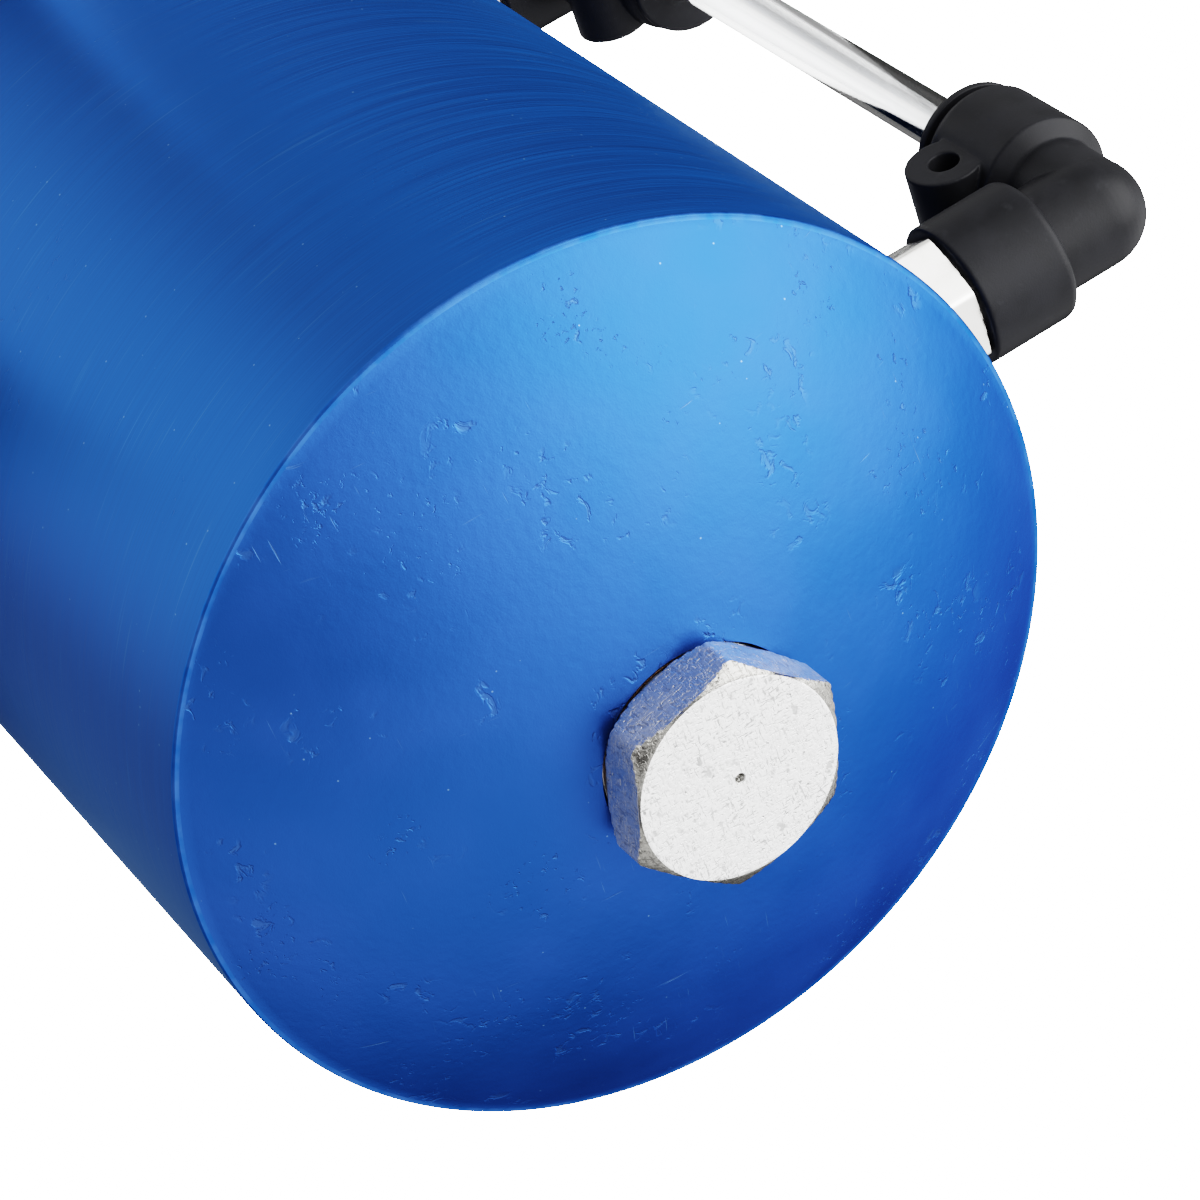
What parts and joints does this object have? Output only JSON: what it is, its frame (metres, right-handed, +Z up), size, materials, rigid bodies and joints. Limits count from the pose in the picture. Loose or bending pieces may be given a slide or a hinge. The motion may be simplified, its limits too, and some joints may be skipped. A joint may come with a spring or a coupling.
{
  "type": "oil catch can",
  "caption": "Round oil catch can: domed tank with hex drain plug, sight tube between push-in elbows, hose barbs, screw-on lid and breather filter.",
  "frame": {"origin": "centre of the mounting plate's back face, midway between its two countersunk screws", "axes": "+Z up along the can's axis towards the breather filter, +Y out of the mounting plate's back face, sight tube on the -Y side"},
  "size_m": [0.182, 0.1469, 0.2583],
  "materials": {
    "anodised_blue": "brushed blue anodised aluminium, satin on the dome",
    "bare_aluminium": "machined, lightly scratched",
    "welded_aluminium": "turned",
    "nickel_plate": "bright nickel plate",
    "black_plastic": "matte moulded",
    "clear_tube": "clear polyurethane",
    "black_rubber": "matte",
    "copper": "annealed copper",
    "stainless": "bright stainless steel",
    "steel_wool": "packed stainless wool",
    "black_anodised": "satin black anodised",
    "filter_gauze": "pleated cotton gauze behind wire mesh",
    "chrome": "polished",
    "black_powder_coat": "fine texture powder coat"
  },
  "bodies": {
    "can": {"can_shell": "anodised_blue", "drain_bung": "welded_aluminium", "neck_ring": "welded_aluminium", "lower_sight_boss": "welded_aluminium", "upper_sight_boss": "welded_aluminium", "lower_elbow_stem": "nickel_plate", "lower_stem_seal": "black_rubber", "lower_elbow_body": "black_plastic", "lower_tube_seal": "black_rubber", "lower_grip_collet": "stainless", "upper_elbow_stem": "nickel_plate", "upper_stem_seal": "black_rubber", "upper_elbow_body": "black_plastic", "upper_tube_seal": "black_rubber", "upper_grip_collet": "stainless", "sight_tube": "clear_tube", "inlet_bung": "anodised_blue", "inlet_washer": "black_rubber", "inlet_barb": "bare_aluminium", "outlet_bung": "anodised_blue", "outlet_washer": "black_rubber", "outlet_barb": "bare_aluminium", "drop_tube": "stainless", "baffle_shelf": "welded_aluminium", "lower_baffle": "stainless", "steel_wool_pad": "steel_wool", "upper_baffle": "stainless", "retaining_ring": "stainless", "mounting_plate": "black_powder_coat", "lower_plate_boss": "anodised_blue", "upper_plate_boss": "anodised_blue", "lower_plate_screw": "stainless", "upper_plate_screw": "stainless"},
    "drain_washer": {"drain_washer": "copper"},
    "drain_plug": {"drain_plug": "bare_aluminium"},
    "lid_seal": {"lid_seal": "black_rubber"},
    "lid": {"lid": "anodised_blue", "breather_neck": "black_anodised", "breather_nut": "black_anodised", "filter_boot": "black_rubber", "filter_element": "filter_gauze", "filter_cap": "chrome", "clamp_band": "stainless"},
    "clamp_screw": {"clamp_screw": "stainless"},
    "lower_release_ring": {"lower_release_ring": "black_plastic"},
    "upper_release_ring": {"upper_release_ring": "black_plastic"}
  },
  "joints": [
    {"name": "drain_plug_travel", "type": "slide", "parent": "can", "child": "drain_washer", "axis": [0, 0, -1], "range_m": [0, 0.00901]},
    {"name": "drain_plug_turn", "type": "hinge", "parent": "drain_washer", "child": "drain_plug", "pos_m": [0, -0.0623, -0.1212], "axis": [0, 0, -1], "range_deg": [0, 2160]},
    {"name": "lid_travel", "type": "slide", "parent": "can", "child": "lid_seal", "axis": [0, 0, 1], "range_m": [0, 0.01201]},
    {"name": "lid_turn", "type": "hinge", "parent": "lid_seal", "child": "lid", "pos_m": [0, -0.0623, 0.0554], "axis": [0, 0, 1], "range_deg": [0, 2160]},
    {"name": "clamp_screw_turn", "type": "hinge", "parent": "lid", "child": "clamp_screw", "pos_m": [0.0174, -0.0623, 0.075], "axis": [0, 1, 0], "range_deg": [0, 1440]},
    {"name": "lower_release_press", "type": "slide", "parent": "can", "child": "lower_release_ring", "axis": [0, 0, -1], "range_m": [0, 0.0007], "stiffness_N_per_m": 1500},
    {"name": "upper_release_press", "type": "slide", "parent": "can", "child": "upper_release_ring", "axis": [0, 0, 1], "range_m": [0, 0.0007], "stiffness_N_per_m": 1500}
  ],
  "couplings": [
    {"joint": "drain_plug_travel", "follows": "drain_plug_turn", "m_per_rad": 0.00023873},
    {"joint": "lid_travel", "follows": "lid_turn", "m_per_rad": 0.00031831}
  ]
}
